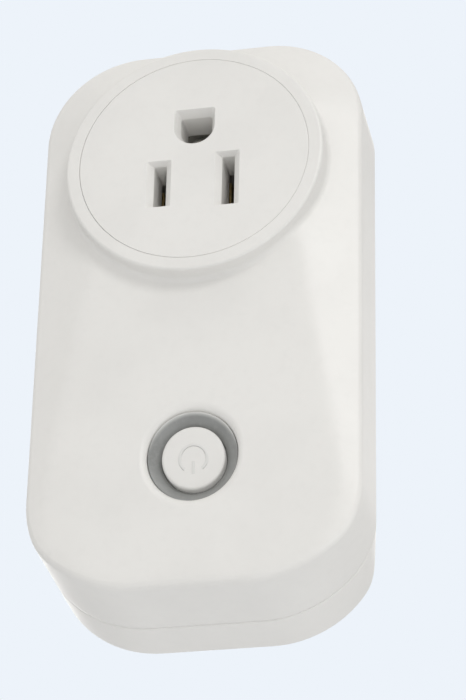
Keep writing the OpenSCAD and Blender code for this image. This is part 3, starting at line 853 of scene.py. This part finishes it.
def board(name, color, track):
    """Circuit board: solder mask over runs of parallel copper tracks, tinned pads and faint weave.

    Random cells get tracks across, tracks along or none, and some are filled with copper.
    """
    s = Shader(name, color, 0.32, Coat_Weight=0.4, Coat_Roughness=0.15)
    flat = s.node("ShaderNodeVectorMath", operation="MULTIPLY")
    flat.inputs[1].default_value = (1, 0, 1)
    s.link(s.place, flat.inputs[0])
    flat = flat.outputs["Vector"]

    def cells(size_mm, distance, output):
        made = s.node("ShaderNodeTexVoronoi", distance=distance)
        made.inputs["Scale"].default_value = 1000 / size_mm
        s.link(flat, made.inputs["Vector"])
        return made.outputs[output]

    def runs(axis, pitch_mm):
        made = s.node("ShaderNodeTexWave", bands_direction=axis)
        made.inputs["Scale"].default_value = WAVE / pitch_mm
        s.link(flat, made.inputs["Vector"])
        return s.ramp(made.outputs["Fac"], 0.5, 0.7)

    random = s.node("ShaderNodeSeparateColor")
    s.link(cells(6.5, "CHEBYCHEV", "Color"), random.inputs["Color"])
    across = s.product(runs("X", 1.3), s.ramp(random.outputs["Red"], 0.62, 0.6))
    along = s.product(runs("Z", 1.1), s.ramp(random.outputs["Red"], 0.38, 0.4))
    pour = s.ramp(random.outputs["Green"], 0.72, 0.74)
    for copper in (across, along, pour):
        s.tint(copper, track, 0.7)
    pads = s.ramp(cells(2.4, "EUCLIDEAN", "Distance"), 0.19, 0.16)
    s.tint(pads, (0.50, 0.50, 0.47), 0.9)
    s.tint(s.ramp(s.noise(7, 3), 0.4, 0.7), shaded(color, 0.75), 0.4)
    s.gloss(s.noise(2, 4), 0.06)
    s.bump(across, 0.03)
    s.bump(along, 0.03)
    s.bump(pads, 0.05)
    s.bump(s.noise(0.5, 2), 0.008)
    return s


def wound(name, color, pitch_mm, axis, metallic, roughness, depth):
    """Turns of wire or tape laid side by side along an axis, with painted shade in the grooves between
    turns.
    """
    s = Shader(name, color, roughness, Metallic=metallic)
    wave = s.node("ShaderNodeTexWave", bands_direction=axis)
    wave.inputs["Scale"].default_value = WAVE / pitch_mm
    wave.inputs["Distortion"].default_value = 0.4
    s.link(s.place, wave.inputs["Vector"])
    # painted shade: the low grooves between turns are darkened
    s.tint(s.ramp(wave.outputs["Fac"], 0.6, 0.0), shaded(color, 0.35), 0.7)
    s.tint(s.ramp(s.noise(3, 3), 0.4, 0.7), shaded(color, 0.7), 0.35)
    s.gloss(s.noise(1, 3), 0.08)
    s.bump(wave.outputs["Fac"], depth)
    return s


def frosted(name, color, roughness, **sockets):
    """Frosted clear plastic with cloudy depth."""
    s = Shader(name, color, roughness, **sockets)
    s.tint(s.ramp(s.noise(5, 3), 0.35, 0.7), shaded(color, 0.72), 0.5)
    s.tint(s.ramp(s.noise(0.8, 3), 0.45, 0.75), shaded(color, 1.25), 0.3)
    s.gloss(s.noise(1.5, 4), 0.06)
    s.bump(s.noise(0.3, 3), 0.008)
    return s


def ring_clear(name, color):
    """The light ring's frosted plastic, with painted light that makes it paler at its upper outer edge.
    """
    s = frosted(name, color, 0.38, Coat_Weight=0.25, Coat_Roughness=0.2)
    flat = s.node("ShaderNodeVectorMath", operation="MULTIPLY_ADD")
    flat.inputs[1].default_value = (1, 0, 1)
    flat.inputs[2].default_value = (0, 0, -BUTTON_Z * MM)
    s.link(s.place, flat.inputs[0])
    reach = s.node("ShaderNodeVectorMath", operation="LENGTH")
    s.link(flat.outputs["Vector"], reach.inputs[0])
    axes = s.node("ShaderNodeSeparateXYZ")
    s.link(flat.outputs["Vector"], axes.inputs["Vector"])
    # painted light: the ring is tinted paler towards its outer edge and towards the top, as if lit from
    # the lip above it
    outer = s.ramp(reach.outputs["Value"], 7.4 * MM, 8.2 * MM)
    s.tint(s.product(outer, s.ramp(axes.outputs["Z"], 0, 7 * MM)), (0.70, 0.70, 0.68), 0.95)
    return s


def make_materials():
    """One finished material for each of the record's slots, and the moulded mark's own."""
    made = {
        "shell_white": moulded("shell_white", (0.80, 0.79, 0.765), 0.4),
        "mark_grey": moulded("mark_grey", (0.735, 0.73, 0.71), 0.4),
        "ring_clear": ring_clear("ring_clear", (0.285, 0.29, 0.283)),
        "carrier_plastic": moulded("carrier_plastic", (0.62, 0.60, 0.55), 0.5, 0.5, 0.02, 0.85),
        "contact_brass": metal("contact_brass", (0.50, 0.36, 0.15), 0.36, wear=(0.7, 0.56, 0.30)),
        "blade_nickel": metal("blade_nickel", (0.62, 0.60, 0.56), 0.24),
        "bar_copper": metal("bar_copper", (0.72, 0.36, 0.22), 0.32, wear=(0.9, 0.6, 0.45)),
        "board_green": board("board_green", (0.015, 0.13, 0.05), (0.03, 0.24, 0.09)),
        "board_blue": board("board_blue", (0.012, 0.06, 0.16), (0.03, 0.13, 0.30)),
        "screw_steel": metal("screw_steel", (0.50, 0.50, 0.49), 0.3, 0.3, (1, 1, 1)),
        "black_plastic": moulded("black_plastic", (0.022, 0.022, 0.024), 0.48, 0.4, 0.02, 0.6),
        "relay_blue": moulded("relay_blue", (0.02, 0.10, 0.36), 0.34, 0.5, 0.012, 0.8),
        "bobbin_plastic": moulded("bobbin_plastic", (0.55, 0.52, 0.42), 0.5, 0.5, 0.015, 0.85),
        "coil_copper": wound("coil_copper", (0.62, 0.24, 0.10), 0.32, "X", 1.0, 0.28, 0.08),
        "relay_iron": metal("relay_iron", (0.38, 0.38, 0.37), 0.4, 0.2, (0.1, 1, 1)),
        "ferrite": moulded("ferrite", (0.055, 0.053, 0.052), 0.62, 0.5, 0.05, 0.6),
        "winding_tape": wound("winding_tape", (0.75, 0.55, 0.08), 3.2, "Z", 0.0, 0.3, 0.05),
        "capacitor_sleeve": moulded("capacitor_sleeve", (0.02, 0.025, 0.06), 0.26, 1.2, 0.01, 0.7,
                                    Coat_Weight=0.5),
        "fuse_body": moulded("fuse_body", (0.10, 0.25, 0.14), 0.4, 0.8, 0.03, 0.7),
        "varistor_disc": moulded("varistor_disc", (0.10, 0.28, 0.50), 0.28, 1.5, 0.05, 0.8,
                                 Coat_Weight=0.4),
        "led_lens": frosted("led_lens", (0.80, 0.85, 0.82), 0.15, Transmission_Weight=0.5),
        "label_film": moulded("label_film", (0.70, 0.70, 0.69), 0.38, 0.2, 0.004, 0.95, (0.6, 3)),
    }
    return {name: shader.material for name, shader in made.items()}


def dress_cad_nodes():
    """Gives every CAD node the material of its own slot."""
    for part in frame["record"]["subparts"]:
        node = frame["nodes"][part["node"]]
        finish = MATERIALS[part["material_slot"]]
        if not node.material_slots:
            node.data.materials.append(finish)
        for place in node.material_slots:
            place.material = finish


# Stage

def floor():
    """Plain pale floor, well below the object."""
    skin = Skin()
    corners = ((-1, -1), (1, -1), (1, 1), (-1, 1))
    skin.cap(skin.ring([(sx * FLOOR_HALF, sd * FLOOR_HALF, FLOOR_LEVEL) for sx, sd in corners]))
    piece = skin.place("floor")
    piece.data.materials.append(moulded("floor_paint", (0.80, 0.81, 0.825), 0.7, 8, 0.05, 0.975).material)


def area_light(name, place_mm, aim_mm, size_m, watts, color=(1.0, 1.0, 0.99)):
    """A round lamp that the camera doesn't see."""
    light = bpy.data.lights.new(name, "AREA")
    light.shape = "DISK"
    light.size = size_m
    light.energy = watts
    light.color = color
    lamp = bpy.data.objects.new(name, light)
    lamp.location = Vector(place_mm) * MM
    lamp.rotation_euler = (Vector(aim_mm) - Vector(place_mm)).to_track_quat("-Z", "Y").to_euler()
    lamp.visible_camera = False
    bpy.context.scene.collection.objects.link(lamp)


def surroundings():
    """Pale surroundings, dimmer to the right; the camera sees an even backdrop instead."""
    world = bpy.data.worlds.new("studio")
    bpy.context.scene.world = world
    world.use_nodes = True
    tree = world.node_tree
    ambient = tree.nodes["Background"]
    ambient.inputs["Color"].default_value = (1.0, 0.99, 0.975, 1)
    direction = tree.nodes.new("ShaderNodeTexCoord")
    axes = tree.nodes.new("ShaderNodeSeparateXYZ")
    tree.links.new(direction.outputs["Generated"], axes.inputs["Vector"])
    level = axes.outputs["X"]
    for operation, value in (("MAXIMUM", 0.0), ("POWER", DROP_POWER),
                             ("MULTIPLY", -AMBIENT_DROP), ("ADD", AMBIENT)):
        step = tree.nodes.new("ShaderNodeMath")
        step.operation = operation
        tree.links.new(level, step.inputs[0])
        step.inputs[1].default_value = value
        level = step.outputs["Value"]
    tree.links.new(level, ambient.inputs["Strength"])
    backdrop = tree.nodes.new("ShaderNodeBackground")
    backdrop.inputs["Color"].default_value = (0.847, 0.896, 0.956, 1)
    seen = tree.nodes.new("ShaderNodeLightPath")
    mix = tree.nodes.new("ShaderNodeMixShader")
    tree.links.new(seen.outputs["Is Camera Ray"], mix.inputs["Fac"])
    tree.links.new(ambient.outputs["Background"], mix.inputs[1])
    tree.links.new(backdrop.outputs["Background"], mix.inputs[2])
    tree.links.new(mix.outputs["Shader"], tree.nodes["World Output"].inputs["Surface"])


def studio():
    """Soft lights from the upper right, the front and the rear, and a weak one low on the right."""
    bpy.context.scene.view_settings.view_transform = "Standard"
    surroundings()
    area_light("key", (461, -757, 472), MIDDLE, 0.35, 2.05)
    area_light("top", (433, -270, 844), MIDDLE, 0.4, 0.6)
    area_light("front", (188, -886, -420), MIDDLE, 0.5, 1.0)
    area_light("fill", (150, -60, -140), (20, -15, -62), 0.12, 0.032, (1.0, 1.0, 1.0))
    area_light("rear", (-200, 700, 300), MIDDLE, 0.7, 2.5, (1.0, 0.99, 0.98))


def camera():
    """A long lens from below and a little to the right, rolled by about a degree."""
    lens = bpy.data.cameras.new("camera")
    lens.lens = LENS
    lens.sensor_width = SENSOR
    lens.clip_start = 0.01
    azimuth, elevation, roll = (math.radians(a) for a in VIEW_ANGLES)
    away = Vector((math.sin(azimuth) * math.cos(elevation), -math.cos(azimuth) * math.cos(elevation),
                   math.sin(elevation)))
    eye = bpy.data.objects.new("camera", lens)
    eye.location = (Vector(VIEW_AIM) + away * VIEW_DISTANCE) * MM
    turn = (-away).to_track_quat("-Z", "Y").to_matrix() @ Matrix.Rotation(roll, 3, "Z")
    eye.rotation_euler = turn.to_euler()
    bpy.context.scene.collection.objects.link(eye)
    bpy.context.scene.camera = eye


MATERIALS = make_materials()
studio()
camera()
floor()
front_cover()
rear_cover()
socket_face()
light_ring()
button_cap()
power_mark()
for node_name, across, half_height in BLADES:
    blade(node_name, across, half_height)
ground_pin()
case_screws()
rating_label()
dress_cad_nodes()
